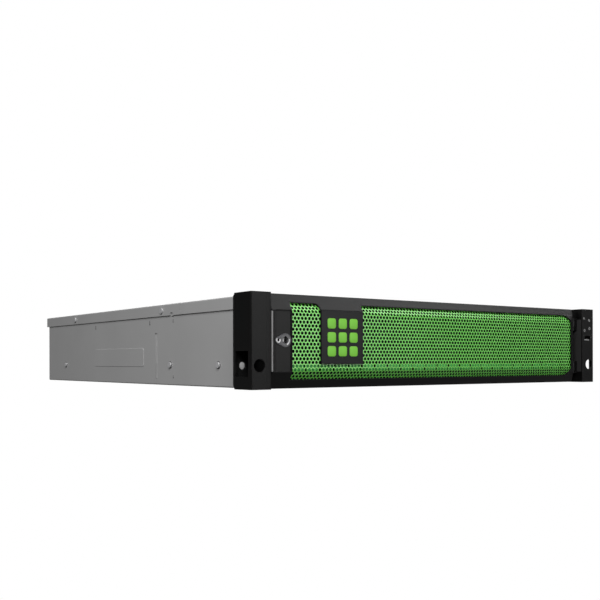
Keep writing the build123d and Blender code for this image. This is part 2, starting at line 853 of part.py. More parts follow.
def make_rear_bay_frame():
    """Welded frame that divides the rear into two power bays and two module bays."""
    psu_x = (psu_bay_inner, psu_bay_inner + psu_bay_width)
    with BuildPart() as frame:
        with BuildSketch(facing(bay_frame_front)):
            bar((-half_body + sheet, half_body - sheet), (sheet, wall_top))
            for side in (-1, 1):
                with Locations((side * sum(psu_x) / 2, (bay_floor + bay_ceiling) / 2)):
                    Rectangle(psu_bay_width, bay_ceiling - bay_floor, mode=Mode.SUBTRACT)
            for z in ((bay_floor, bay_middle - frame_wall / 2), (bay_middle + frame_wall / 2, bay_ceiling)):
                with Locations((0, sum(z) / 2)):
                    Rectangle(2 * module_bay_half, z[1] - z[0], mode=Mode.SUBTRACT)
        extrude(amount=-(chassis_depth - bay_frame_front))
    save(frame.part, "rear_bay_frame")


def make_power_supply(side, name):
    """Power supply: open-ended steel case, fan duct with guard, mains inlet and handle lugs."""
    centre = side * psu_bay_centre
    half = psu_bay_width / 2 - module_gap
    low = bay_floor + module_gap
    high = bay_ceiling - module_gap
    front = rear_face - module_depth
    fan_x = centre + fan_offset[0]
    fan_z = bay_middle + fan_offset[1]
    inlet_x = centre + inlet_offset[0]
    inlet_z = bay_middle + inlet_offset[1]
    with BuildPart() as supply:
        with BuildSketch(facing(front)):
            bar((centre - half, centre + half), (low, high))
        extrude(amount=-module_depth)
        with BuildSketch(facing(front)):
            hollow_x = (centre - half + module_wall, centre + half - module_wall)
            bar(hollow_x, (low + module_wall, high - module_wall))
        extrude(amount=-(module_depth - face_block), mode=Mode.SUBTRACT)
        with BuildSketch(facing(rear_face)):
            with Locations((fan_x, fan_z)):
                Circle(fan_radius)
        extrude(amount=face_block, mode=Mode.SUBTRACT)
        with BuildSketch(facing(rear_face - guard_bar)):
            for step in (-1, 0, 1):
                reach = 2 * sqrt(fan_radius ** 2 - (step * guard_step) ** 2)
                with Locations((fan_x, fan_z + step * guard_step)):
                    Rectangle(reach, guard_bar)
                with Locations((fan_x + step * guard_step, fan_z)):
                    Rectangle(guard_bar, reach)
        extrude(amount=-guard_bar)
        with BuildSketch(facing(rear_face - face_block)):
            with Locations((fan_x, fan_z)):
                Circle(fan_hub_radius)
                Rectangle(2 * fan_radius + 2 * slip, 2 * guard_bar)
        extrude(amount=-guard_bar)
        with BuildSketch(facing(rear_face - face_block)):
            with Locations((fan_x, fan_z)):
                Circle(fan_axle_radius)
        extrude(amount=-(face_block - fan_recess))
        with BuildSketch(facing(rear_face)):
            with Locations((inlet_x, inlet_z)):
                Rectangle(inlet_width, inlet_height)
            upper = vertices().group_by(Axis.Y)[-1]
            chamfer(upper, inlet_corner)
        extrude(amount=inlet_depth, mode=Mode.SUBTRACT)
        with BuildSketch(facing(rear_face - inlet_depth)):
            with Locations((inlet_x, inlet_z)):
                Rectangle(inlet_block[0], inlet_block[1])
        extrude(amount=-(inlet_depth - fan_recess))
        handle_centre = centre + handle_x
        for edge in (-1, 1):
            inner_face = handle_centre + edge * (handle_width / 2 + slip)
            with BuildSketch(side_on(inner_face)):
                with Locations((at(handle_y), handle_height)):
                    Circle(lug_radius)
                with Locations((at((rear_face + handle_y) / 2), handle_height)):
                    Rectangle(handle_y - rear_face, 2 * lug_radius)
                with Locations((at(handle_y), handle_height)):
                    Circle(handle_pin_radius + axle_clearance, mode=Mode.SUBTRACT)
            extrude(amount=edge * lug_thickness)
    save(supply.part, f"power_supply_{name}")
    with BuildPart() as rotor:
        with BuildSketch(facing(rear_face - face_block + 2 * guard_bar)):
            with Locations((fan_x, fan_z)):
                Circle(fan_hub_radius)
                Circle(fan_axle_radius + axle_clearance, mode=Mode.SUBTRACT)
        extrude(amount=-fan_depth)
        hub_middle = rear_face - face_block + 2 * guard_bar + fan_depth / 2
        blade_reach = fan_radius - fan_tip_gap
        blade_length = fan_depth / 2 / cos(radians(fan_blade_pitch))
        for index in range(fan_blades):
            turn = 2 * pi / fan_blades * index
            outward = (cos(turn), 0, sin(turn))
            around = (-sin(turn), 0, cos(turn))
            blade_root = Plane((fan_x, at(hub_middle), fan_z), x_dir=around, z_dir=outward)
            with BuildSketch(blade_root.offset(fan_hub_radius - fan_blade_thickness / 2)):
                Rectangle(fan_blade_thickness, blade_length, rotation=fan_blade_pitch)
            extrude(amount=blade_reach - fan_hub_radius)
    save(rotor.part, f"psu_fan_{name}")
    with BuildPart() as handle:
        with BuildSketch(facing(handle_y - handle_thickness / 2)) as bail:
            handle_top = handle_height + handle_bar / 2
            handle_x_range = (handle_centre - handle_width / 2, handle_centre + handle_width / 2)
            bar(handle_x_range, (handle_top - handle_drop, handle_top))
            fillet(bail.vertices().group_by(Axis.Y)[0], handle_bar)
            with Locations((handle_centre, handle_top - handle_drop / 2)):
                Rectangle(handle_width - 2 * handle_bar, handle_drop - 2 * handle_bar, mode=Mode.SUBTRACT)
        extrude(amount=-handle_thickness)
        top_edges = handle.edges().filter_by(Axis.X).group_by(Axis.Z)[-1]
        fillet(top_edges, handle_thickness / 2 - slip)
        with BuildSketch(side_on(handle_centre - handle_width / 2 - slip - lug_thickness)):
            with Locations((at(handle_y), handle_height)):
                Circle(handle_pin_radius)
        extrude(amount=handle_width + 2 * slip + 2 * lug_thickness)
    save(handle.part, f"psu_handle_{name}")


def make_expander_module(floor, ceiling, name):
    """Expander module with its ports, vents and ejector lever."""
    low = floor + module_gap
    high = ceiling - module_gap
    front = rear_face - module_depth
    lever_z = high - lever_drop
    pin_x = -module_half + lever_inset
    with BuildPart() as module:
        with BuildSketch(facing(front)):
            bar((-module_half, module_half), (low, high))
        extrude(amount=-module_depth)
        with BuildSketch(facing(front)):
            hollow_z = (low + module_wall, high - module_wall)
            bar((module_wall - module_half, module_half - module_wall), hollow_z)
        extrude(amount=-(module_depth - face_block / 2 - module_wall), mode=Mode.SUBTRACT)
        with BuildSketch(facing(rear_face)):
            for index in range(sas_count):
                with Locations((first_port + index * sas_pitch, low + port_height)):
                    Rectangle(sas_size[0], sas_size[1])
            with Locations((rj_place, low + port_height)):
                Rectangle(rj_size[0], rj_size[1])
        extrude(amount=sas_depth, mode=Mode.SUBTRACT)
        with BuildSketch(facing(rear_face)):
            with Locations((module_half - vent_margin, low + port_height)):
                with GridLocations(vent_pitch, 1, vent_count, 1):
                    Rectangle(vent_slot[0], vent_slot[1])
        extrude(amount=vent_depth, mode=Mode.SUBTRACT)
        with BuildSketch(level(lever_z - lever_height / 2 - lever_gap - lug_thickness)):
            with Locations((pin_x, at(lever_y))):
                Circle(lug_radius)
            with Locations((pin_x, at((rear_face + lever_y) / 2))):
                Rectangle(2 * lug_radius, lever_y - rear_face)
        extrude(amount=lug_thickness)
        with BuildSketch(level(lever_z - lever_height / 2 - lever_gap)):
            with Locations((pin_x, at(lever_y))):
                Circle(lever_pin_radius)
        extrude(amount=lever_height + lever_gap)
    save(module.part, f"expander_{name}")
    with BuildPart() as lever:
        with BuildSketch(level(lever_z - lever_height / 2)):
            with BuildLine():
                Polyline(
                    (pin_x, at(lever_y - lever_thickness / 2)),
                    (pin_x + lever_length - lever_tip, at(lever_y - lever_thickness / 2)),
                    (pin_x + lever_length, at(lever_y + lever_thickness)),
                    (pin_x + lever_length - lever_thickness, at(lever_y + lever_thickness)),
                    (pin_x + lever_length - lever_tip - lever_thickness, at(lever_y + lever_thickness / 2)),
                    (pin_x, at(lever_y + lever_thickness / 2)),
                    close=True,
                )
            make_face()
            with Locations((pin_x, at(lever_y))):
                Circle(lever_stand + lever_thickness / 2 - lever_gap)
                Circle(lever_pin_radius + axle_clearance, mode=Mode.SUBTRACT)
        extrude(amount=lever_height)
    save(lever.part, f"expander_lever_{name}")


os.makedirs("parts", exist_ok=True)
make_chassis_tray()
make_front_top_panel()
make_rear_cover()
make_cover_screws()
make_rail_studs()
make_rack_flange(-1, "rack_flange_left")
make_rack_flange(1, "rack_flange_right")
make_ear_cap(-1, "ear_cap_left", False)
make_ear_cap(1, "ear_cap_right", True)
make_ear_controls()
make_bezel_frame()
make_bezel_grille()
make_badge_plate()
make_latch_plate()
make_lock()
make_hinge_brackets()
make_drive_cage()
make_drive_carriers()
make_midplane()
make_rear_bay_frame()
make_power_supply(-1, "left")
make_power_supply(1, "right")
make_expander_module(bay_middle + frame_wall / 2, bay_ceiling, "upper")
make_expander_module(bay_floor, bay_middle - frame_wall / 2, "lower")
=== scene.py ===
"""Looks of the two-unit rack drive enclosure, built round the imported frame.

Lengths are metres in the part's own frame: X to the right, Y rearwards, Z up.
Depths are counted rearwards from the front plane of the rack ears.
"""
import json
from math import atan2, cos, pi, radians, sin, tan

import bmesh
import bpy
from mathutils import Matrix, Vector

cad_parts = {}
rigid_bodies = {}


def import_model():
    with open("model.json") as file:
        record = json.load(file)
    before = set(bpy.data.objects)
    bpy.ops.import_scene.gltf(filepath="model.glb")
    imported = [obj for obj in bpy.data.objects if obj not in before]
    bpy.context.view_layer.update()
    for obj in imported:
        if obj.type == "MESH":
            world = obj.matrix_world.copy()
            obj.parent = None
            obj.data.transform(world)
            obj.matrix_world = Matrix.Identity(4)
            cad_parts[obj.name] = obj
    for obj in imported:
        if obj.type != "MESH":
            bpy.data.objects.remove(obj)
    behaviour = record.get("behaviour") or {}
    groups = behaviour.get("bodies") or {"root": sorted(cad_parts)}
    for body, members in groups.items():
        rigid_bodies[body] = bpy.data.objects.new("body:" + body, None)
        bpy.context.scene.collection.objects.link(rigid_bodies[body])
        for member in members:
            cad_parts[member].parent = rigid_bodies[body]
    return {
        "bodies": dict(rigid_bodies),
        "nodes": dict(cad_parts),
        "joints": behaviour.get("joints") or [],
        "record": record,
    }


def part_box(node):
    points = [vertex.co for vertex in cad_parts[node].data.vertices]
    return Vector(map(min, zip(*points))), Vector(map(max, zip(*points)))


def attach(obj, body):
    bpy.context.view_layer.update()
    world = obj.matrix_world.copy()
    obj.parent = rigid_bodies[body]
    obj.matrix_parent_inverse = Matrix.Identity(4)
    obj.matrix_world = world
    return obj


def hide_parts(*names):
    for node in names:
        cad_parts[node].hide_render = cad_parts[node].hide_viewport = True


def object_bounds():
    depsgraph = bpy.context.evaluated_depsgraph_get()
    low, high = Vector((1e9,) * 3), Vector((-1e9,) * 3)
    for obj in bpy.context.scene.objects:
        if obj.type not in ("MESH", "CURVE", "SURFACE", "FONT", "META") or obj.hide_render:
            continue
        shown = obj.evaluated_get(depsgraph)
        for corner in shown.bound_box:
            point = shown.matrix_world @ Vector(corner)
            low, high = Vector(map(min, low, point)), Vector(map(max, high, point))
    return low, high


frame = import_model()
cad_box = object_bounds()

MM = 0.001
front_y = cad_box[0].y
rear_face = 575 * MM
side_x = 220.2 * MM
stated = {row["name"]: row["box_m"] for row in frame["record"]["physics"]["openings"]}
pivots = {joint["name"]: joint.get("pos_m") for joint in frame["joints"]}
bay_bodies = sorted(name for name in frame["bodies"] if name.startswith("carrier_"))

# Camera, fitted to the photograph's edges. Its focal length and centre are in the photograph's pixels
camera_place = (-645.4 * MM, front_y - 654.6 * MM, 24.6 * MM)
camera_yaw = 36.98
camera_roll = -0.105
photo_size = 600
focal_pixels = 876.3
photo_centre = (332.3, 361.9)
sensor = 36
near_limit = 0.01

# Light: each lamp's name, place, width and power
floor_size = 30
floor_drop = 0.5 * MM
floor_light = 0.03
floor_gloss = 0.16
world_light = 0.01
world_tint = (0.97, 0.98, 1, 1)
lamp_target = Vector((0, 0, 0.04))
lamps = (
    ("key", (-0.82, -1.0, 0.85), 0.7, 16),
    ("front_right", (0.8, -2.0, 0.15), 0.9, 7.5),
    ("far_right", (1.8, -1.5, 0.45), 0.9, 1.4),
    ("over", (1.1, -0.95, 1.5), 1.0, 8.5),
    ("side", (-1.8, 0.25, 1.0), 1.0, 12),
    ("above", (0.0, 0.2, 2.2), 1.4, 6),
    ("rear", (0.9, 1.9, 1.1), 2.0, 22),
    ("right", (1.9, 0.4, 0.9), 1.2, 20),
    ("low", (0.67, -0.7, -0.82), 0.8, 3),
)

# Grille: the hexagonal cells and their holes, then the sheet's bends and the opening it fills
grille_pitch = 4.0 * MM
grille_row = 3.365 * MM
grille_hole = 1.53 * MM
hole_margin = 0.05 * MM
grille_sides = 12
grille_front = 2.0 * MM
grille_thickness = 0.6 * MM
grille_middle = 43.5 * MM
grille_row_shift = -0.9 * MM
grille_first = 1.8 * MM
spare_cells = 3
badge_lap = 2 * MM
points_per_metre = 1e6
grille_flat_half = 27.13 * MM
grille_lean = radians(32)
grille_bend = 4.0 * MM
grille_end = 198.0 * MM
grille_end_round = 12.0 * MM
opening_end = 200.5 * MM
opening_lap = 1.5 * MM

# Bezel's right border, the ears' corner strips, and a lining on the right ear painted lighter as a stand-in
# for light on its shaded inner face
border_round = 12.0 * MM
border_end = 209.2 * MM
border_depths = (0.0, 1.6 * MM)
border_steps = 8
border_rows = 20
ear_corner = 5.0 * MM
ear_edge = 0.8 * MM
corner_steps = 8
edge_steps = 4
lining_middle = 14.5 * MM
lining_width = 26 * MM
lining_height = 62 * MM
lining_plate = (1.0 * MM, 0.06 * MM, 0.02 * MM)

# A plate's last three numbers, here and below, are its corner radius, rise and edge. Its height, or its width
# and height, come first where they are given with them. A dome's numbers are its radius and rise.

# Badge squares
square_step = 13.0 * MM
square_size = 9.6 * MM
square_plate = (2.2 * MM, 0.35 * MM, 0.15 * MM)

# Ear marks: each button and its mark's shift, and the indicators' places across and up, in millimetres
button_marks = (("power_button", -0.8 * MM), ("locate_button", -0.6 * MM))
button_radii = (1.6 * MM, 0.7 * MM)
indicator_places = ((223.3, 75.7), (232.9, 74.2))
indicator_radii = (1.5 * MM, 0.6 * MM)
indicator_turns = (-60, 240)
indicator_bar_up = 0.6
indicator_bar = (0.5 * MM, 1.6 * MM)
indicator_plate = (0.1 * MM, 0.04 * MM, 0.01 * MM)
mark_rise = 0.04 * MM

# Service port on the ear: rim, tongue and lamp
rim_width = 1.2 * MM
rim_rounds = (0.8 * MM, 0.4 * MM)
rim_rise = 0.05 * MM
tongue_shift = 0.4 * MM
tongue_up = 0.5 * MM
tongue_size = (9.4 * MM, 1.5 * MM)
tongue_plate = (0.3 * MM, 0.06 * MM, 0.02 * MM)
port_lamp_across = 1.2 * MM
port_lamp_down = 1.8 * MM
port_lamp = (0.5 * MM, 0.05 * MM)

# Lock: each key slot's turn, length and rise, drawn in painted shade, and each arc of painted highlight's
# radii and turns
key_slots = ((0, 5.4 * MM, 0.05 * MM), (55, 3.4 * MM, 0.0555 * MM), (125, 3.4 * MM, 0.0625 * MM))
slot_width = 1.0 * MM
slot_round = 0.4 * MM
slot_edge = 0.02 * MM
highlight_arcs = ((4.7 * MM, 3.5 * MM, -70, 15), (3.0 * MM, 2.3 * MM, 150, 210))
arc_rise = 0.07 * MM
clip_shift = 7.7 * MM
clip_depth = 0.1 * MM
# The clip's arc is a painted highlight, and its centre dot a painted shade.
clip_highlight_arc = (2.5 * MM, 1.2 * MM, 130, 390, 0.09 * MM)
clip_centre_shade = (1.1 * MM, 0.06 * MM)

# Carrier front. The tab, its ribs and the vents are counted in plain millimetres
trim_depth = 0.6 * MM
tab_up = 18.8
tab_gap = 2.4 * MM
tab_plate = (6.2 * MM, 0.8 * MM, 0.4 * MM, 0.25 * MM)
rib_step = 1.4
rib_depth = 0.4 * MM
rib_gap = 6 * MM
rib_plate = (0.5 * MM, 0.2 * MM, 0.2 * MM, 0.1 * MM)
rail_inset = 1.0 * MM
rail_up = 53 * MM
rail_width = 1.8 * MM
rail_plate = (56 * MM, 0.6 * MM, 0.8 * MM, 0.3 * MM)
bay_lamp_across = 3.2 * MM
bay_lamp_up = 9.6 * MM
bay_lamp = (1.0 * MM, 0.5 * MM)
bar_gap = 5 * MM
bars = (
    (77.6 * MM, (5.0 * MM, 1.0 * MM, 1.0 * MM, 0.4 * MM)),
    (27 * MM, (4.0 * MM, 1.0 * MM, 1.0 * MM, 0.4 * MM)),
)
vents = 9
vent_first = 36
vent_step = 4
vent_depth = 3.2 * MM
vent_gap = 4 * MM
vent_plate = (1.4 * MM, 0.3 * MM, 0.8 * MM, 0.2 * MM)

# Rear ports: cage, tongue, contacts and lamps, with negative feet inside the port
cage_inside = 0.2 * MM
cage_collar = 2.4 * MM
cage_wall = 0.5 * MM
cage_rounds = (0.3 * MM, 0.6 * MM, 0.4 * MM)
cage_rise = 0.4 * MM
cage_foot = -11 * MM
cable_gap = 4 * MM
cable_plate = (1.3 * MM, 0.2 * MM, -6 * MM, 0.2 * MM)
cable_foot = -14 * MM
contacts = 8
contact_pitch = 1.02
contact_up = 3.2 * MM
contact_plate = (0.45 * MM, 0.5 * MM, 0.1 * MM, -3 * MM, 0.1 * MM)
contact_foot = -10 * MM
port_lamps_across = 4
port_lamps_up = 3.2 * MM
port_lamps = (0.9 * MM, 0.4 * MM)

# Power supply: guard rings, inlet pins and lamps, with places and ring radii in plain millimetres
guard_radii = (5.5, 10.5, 15.5)
guard_half = 0.7
guard_rise = 0.2 * MM
guard_foot = -1.3 * MM
guard_sides = 48
guard_rim = (20.6 * MM, 19.0 * MM)
guard_rim_sides = 64
guard_rim_rise = 0.3 * MM
inlet_pins = ((-7, -3), (7, -3), (0, 2))
pin_plate = (2.0 * MM, 5.0 * MM, 0.3 * MM, -3 * MM, 0.5 * MM)
pin_foot = -17 * MM
supply_lamps = 3
supply_lamp_first = 30
supply_lamp_step = 7
supply_lamp_up = 12.5 * MM
supply_lamp = (1.2 * MM, 0.6 * MM)

# Side walls: each slot's depth, height up, width and height in plain millimetres, drawn as painted shade, and
# the rings of painted shade round the studs
side_slots = ((404, 68.3, 2.6, 5.0), (248, 68.3, 2.6, 5.0), (191, 68.5, 1.6, 4.0),
              (232, 56.2, 5.6, 1.6), (191, 9.0, 1.6, 3.4), (192, 73.4, 5.0, 1.2))
slot_plate = (0.5 * MM, 0.04 * MM, 0.01 * MM)
stud_depths = (94.5, 198, 508)
stud_up = 21.7 * MM
stud_shade_ring = (4.2 * MM, 3.0 * MM)
stud_shade_ring_rise = 0.05 * MM
# The fold strip is a painted highlight on the seam, and the locating stud is painted pale, partly as painted
# light.
fold_place = (232.5 * MM, 31 * MM)
fold_size = (1.5 * MM, 46 * MM)
fold_plate = (0.5 * MM, 0.05 * MM, 0.02 * MM)
locating_place = (50 * MM, 21.8 * MM)
locating_stud = (4.2 * MM, 0.5 * MM)

# Finishes: spread of the gloss, strength of the relief, spans of the two tones and fineness
gloss_range = (0.85, 1.15)
bump_strength = 0.6
flake_range = (0.0, 1.0)
cloud_range = (0.3, 0.7)
grain_detail = 3
bevel_samples = 4

# Fineness of rounded forms, in points or in degrees
corner_points = 5
circle_sides = 32
band_steps = 16
plate_turns = (0, 30, 60, 90)
dome_turns = (0, 25, 50, 75)
sharp_angle = 35

# Which way each face looks: right, up and outward
FACES = {
    "front": ((1, 0, 0), (0, 0, 1), (0, -1, 0)),
    "rear": ((-1, 0, 0), (0, 0, 1), (0, 1, 0)),
    "left": ((0, -1, 0), (0, 0, 1), (-1, 0, 0)),
    "right": ((0, 1, 0), (0, 0, 1), (1, 0, 0)),
}


def at(depth):
    """Y coordinate of a depth behind the front plane."""
    return front_y + depth


def seat(face, x, y, z):
    """Matrix that puts a form's foot at a point, with its height along the face's outward way."""
    return Matrix.Translation((x, y, z)) @ Matrix(FACES[face]).transposed().to_4x4()


def finish(name, colour, roughness, metallic=0.0, specular=0.5, grain=900.0, relief=0.02,
           cloud=14.0, tone=0.12, edge=0.35, stretch=(1, 1, 1), flakes=False):
    """Material with a cloudy tone, a fine grain in gloss and relief, and softened edges."""
    made = bpy.data.materials.new(name)
    made.use_nodes = True
    nodes, links = made.node_tree.nodes, made.node_tree.links
    shader = nodes["Principled BSDF"]
    shader.inputs["Metallic"].default_value = metallic
    shader.inputs["Specular IOR Level"].default_value = specular
    place = nodes.new("ShaderNodeTexCoord")
    spread = nodes.new("ShaderNodeMapping")
    spread.inputs["Scale"].default_value = stretch
    links.new(place.outputs["Object"], spread.inputs["Vector"])
    fine = nodes.new("ShaderNodeTexNoise")
    fine.inputs["Scale"].default_value = grain
    fine.inputs["Detail"].default_value = grain_detail
    links.new(spread.outputs["Vector"], fine.inputs["Vector"])
    broad = nodes.new("ShaderNodeTexVoronoi" if flakes else "ShaderNodeTexNoise")
    broad.inputs["Scale"].default_value = cloud
    links.new(place.outputs["Object"], broad.inputs["Vector"])
    ramp = nodes.new("ShaderNodeValToRGB")
    ends = ramp.color_ramp.elements
    ends[0].position, ends[1].position = flake_range if flakes else cloud_range
    ends[0].color = [c * (1 - tone) for c in colour] + [1]
    ends[1].color = [c * (1 + tone) for c in colour] + [1]
    links.new(broad.outputs["Color" if flakes else "Fac"], ramp.inputs["Fac"])
    links.new(ramp.outputs["Color"], shader.inputs["Base Color"])
    gloss = nodes.new("ShaderNodeMapRange")
    gloss.inputs["To Min"].default_value = roughness * gloss_range[0]
    gloss.inputs["To Max"].default_value = min(1.0, roughness * gloss_range[1])
    links.new(fine.outputs["Fac"], gloss.inputs["Value"])
    links.new(gloss.outputs["Result"], shader.inputs["Roughness"])
    soft = nodes.new("ShaderNodeBevel")
    soft.samples = bevel_samples
    soft.inputs["Radius"].default_value = edge * MM
    bump = nodes.new("ShaderNodeBump")
    bump.inputs["Strength"].default_value = bump_strength
    bump.inputs["Distance"].default_value = relief * MM
    links.new(fine.outputs["Fac"], bump.inputs["Height"])
    links.new(soft.outputs["Normal"], bump.inputs["Normal"])
    links.new(bump.outputs["Normal"], shader.inputs["Normal"])
    return made


def glow(made, colour, strength):
    """The same material, lit from inside."""
    shader = made.node_tree.nodes["Principled BSDF"]
    shader.inputs["Emission Color"].default_value = (*colour, 1)
    shader.inputs["Emission Strength"].default_value = strength
    return made


chassis_steel = finish("chassis_steel", (0.42, 0.42, 0.42), 0.45, metallic=0.2, tone=0.03, relief=0.01)
zinc_steel = finish("zinc_steel", (0.52, 0.53, 0.55), 0.38, metallic=0.9, cloud=160, flakes=True)
module_steel = finish("module_steel", (0.46, 0.47, 0.48), 0.36, metallic=0.85, cloud=220, tone=0.08,
                      flakes=True)
bright_steel = finish("bright_steel", (0.66, 0.66, 0.67), 0.2, metallic=1.0, grain=500, stretch=(1, 1, 8))
black_plastic = finish("black_plastic", (0.003, 0.003, 0.003), 0.38, specular=0.2, grain=1500, relief=0.03,
                       edge=0.9)
black_steel = finish("black_steel", (0.008, 0.008, 0.008), 0.4, specular=0.3, relief=0.01)
bezel_plastic = finish("bezel_plastic", (0.005, 0.005, 0.005), 0.4, specular=0.25, grain=1500, relief=0.03,
                       edge=1.4)
badge_black = finish("badge_black", (0.006, 0.006, 0.007), 0.34, specular=0.2, relief=0.005)
green_steel = finish("green_steel", (0.18, 0.7, 0.1), 0.28, specular=0.8, tone=0.05, relief=0.01, edge=0.15)
# Painted shade: the dark green on the grille holes' walls and backs stands in for the shade inside the holes.
hole_wall_shade = finish("hole_wall_shade", (0.012, 0.05, 0.008), 0.6, specular=0.1, relief=0.01, edge=0.05)
# Dark copy of the zinc steel: the drive cage is painted dark as a stand-in for the shade behind the grille
# holes.
shaded_cage_steel = finish("shaded_cage_steel", (0.03, 0.03, 0.031), 0.5, metallic=0.4, cloud=160, flakes=True)
badge_green = finish("badge_green", (0.2, 0.62, 0.04), 0.4, tone=0.02, relief=0.005, edge=0.2)
lock_surround = finish("lock_surround", (0.09, 0.09, 0.095), 0.35, metallic=0.6)
dark_plastic = finish("dark_plastic", (0.02, 0.02, 0.021), 0.45, specular=0.4, relief=0.02)
carrier_plastic = finish("carrier_plastic", (0.005, 0.005, 0.005), 0.55, specular=0.12, relief=0.03)
release_green = finish("release_green", (0.07, 0.6, 0.12), 0.45, relief=0.01)
print_grey = finish("print_grey", (0.32, 0.32, 0.32), 0.6, relief=0.002)
shade_grey = finish("shade_grey", (0.16, 0.16, 0.16), 0.6, relief=0.005)
# Painted highlight: pale steel for the lock's bright arcs, the clip's arc, the seam's bright fold and the
# locating studs.
highlight_steel = finish("highlight_steel", (0.72, 0.72, 0.72), 0.45, metallic=0.2, relief=0.005)
stud_steel = finish("stud_steel", (0.62, 0.62, 0.63), 0.3, metallic=0.4, relief=0.005)
strip_steel = finish("strip_steel", (0.3, 0.3, 0.3), 0.5, metallic=0.3, specular=0.3, relief=0.005)
lock_steel = finish("lock_steel", (0.16, 0.16, 0.165), 0.5, metallic=0.3, specular=0.3, relief=0.01)
# Painted light: a lighter grey for the right ear's inner face, standing in for light that its shade keeps
# off.
painted_light_grey = finish("painted_light_grey", (0.028, 0.028, 0.028), 0.6, specular=0.2, relief=0.01, edge=0.05)
ear_trim = finish("ear_trim", (0.003, 0.003, 0.003), 0.38, specular=0.2, grain=1500, relief=0.03, edge=0.05)
# Painted shade: black that stands in for the dark inside of holes, slots and ports.
hole_shade_black = finish("hole_shade_black", (0.004, 0.004, 0.004), 0.9, specular=0.05)
board_green = finish("board_green", (0.015, 0.12, 0.045), 0.35, cloud=300, tone=0.3)
gold_contact = finish("gold_contact", (0.75, 0.5, 0.18), 0.25, metallic=1.0)
clear_lens = finish("clear_lens", (0.32, 0.33, 0.32), 0.3, relief=0.003)
green_lamp = glow(finish("green_lamp", (0.03, 0.2, 0.05), 0.25), (0.1, 0.9, 0.2), 0.12)
amber_lamp = finish("amber_lamp", (0.1, 0.045, 0.012), 0.25)
fan_plastic = finish("fan_plastic", (0.018, 0.018, 0.019), 0.4)
handle_plastic = finish("handle_plastic", (0.025, 0.026, 0.028), 0.42, relief=0.03)


def dress(names, made):
    """Give CAD nodes a material."""
    for name in names:
        node = frame["nodes"][name]
        if not node.data.materials:
            node.data.materials.append(made)
        for slot in node.material_slots:
            slot.material = made


def nodes_named(start):
    """Names of the CAD nodes that begin alike."""
    return sorted(name for name in frame["nodes"] if name.startswith(start))


dress(["chassis_tray", "front_top_panel", "rear_cover"], chassis_steel)
# The drive cage takes the dark copy of the zinc steel, painted as shade behind the grille.
dress(["drive_cage"], shaded_cage_steel)
dress(["rear_bay_frame"], zinc_steel)
dress(nodes_named("ear_cap"), black_plastic)
dress(nodes_named("rack_flange") + ["hinge_brackets"], black_steel)
dress(["bezel_frame"], bezel_plastic)
dress(["badge_plate"], badge_black)
dress(["latch_plate"], strip_steel)
dress(["lock_barrel", "lock_cam"], lock_steel)
dress(["rail_studs", "cover_screws"], stud_steel)
# The service port's opening is painted black as its shade.
dress(["usb_port"], hole_shade_black)
dress(["lock_escutcheon"], lock_surround)
dress(["power_button", "locate_button", "midplane_connectors"], dark_plastic)
dress(["indicator_lenses"], clear_lens)
dress(["midplane_board"], board_green)
dress(nodes_named("power_supply") + ["expander_upper", "expander_lower"], module_steel)
dress(nodes_named("psu_fan"), fan_plastic)
dress(nodes_named("psu_handle") + nodes_named("expander_lever"), handle_plastic)
dress(nodes_named("drive_carrier"), carrier_plastic)


def rectangle(width, height, radius):
    """Outline of a rounded rectangle round the origin, anticlockwise."""
    radius = min(radius, width / 2, height / 2)
    points = []
    for corner in range(4):
        sign_x = 1 if corner in (0, 3) else -1
        sign_y = 1 if corner in (0, 1) else -1
        for step in range(corner_points + 1):
            turn = pi / 2 * (corner + step / corner_points)
            points.append((sign_x * (width / 2 - radius) + radius * cos(turn),
                           sign_y * (height / 2 - radius) + radius * sin(turn)))
    return points


def circle(radius, sides=circle_sides):
    """Outline of a circle round the origin, anticlockwise."""
    return [(radius * cos(2 * pi * k / sides), radius * sin(2 * pi * k / sides)) for k in range(sides)]


def loft(mesh, place, rings, ring_shut=False, colour=0):
    """Skin between outlines at given heights. A shut loft joins the last to the first and has no caps."""
    rows = [[mesh.verts.new(place @ Vector((a, b, height))) for a, b in outline] for outline, height in rings]
    count = len(rows[0])
    pairs = list(zip(rows, rows[1:]))
    if ring_shut:
        pairs.append((rows[-1], rows[0]))
    faces = [mesh.faces.new((low[k], low[(k + 1) % count], high[(k + 1) % count], high[k]))
             for low, high in pairs for k in range(count)]
    if not ring_shut:
        faces += [mesh.faces.new(rows[0][::-1]), mesh.faces.new(rows[-1])]
    for face in faces:
        face.material_index = colour


def plate(mesh, place, width, height, radius, rise, edge, foot=0.0, colour=0):
    """Rounded plate with a softened front edge."""
    rings = [(rectangle(width, height, radius), foot)]
    for turn in plate_turns:
        inset = edge * (1 - cos(radians(turn)))
        outline = rectangle(width - 2 * inset, height - 2 * inset, max(radius - inset, edge / 4))
        rings.append((outline, rise - edge + edge * sin(radians(turn))))
    loft(mesh, place, rings, colour=colour)


def dome(mesh, place, radius, rise, colour=0):
    """Low round button or lamp."""
    rings = [(circle(radius), 0.0)]
    for turn in dome_turns:
        rings.append((circle(radius * cos(radians(turn))), rise * sin(radians(turn))))
    loft(mesh, place, rings, colour=colour)


def tube(mesh, place, outer, inner, rise, foot=0.0):
    """Ring or frame between two outlines."""
    rings = [(outer, foot), (outer, rise), (inner, rise), (inner, foot)]
    loft(mesh, place, rings, ring_shut=True)


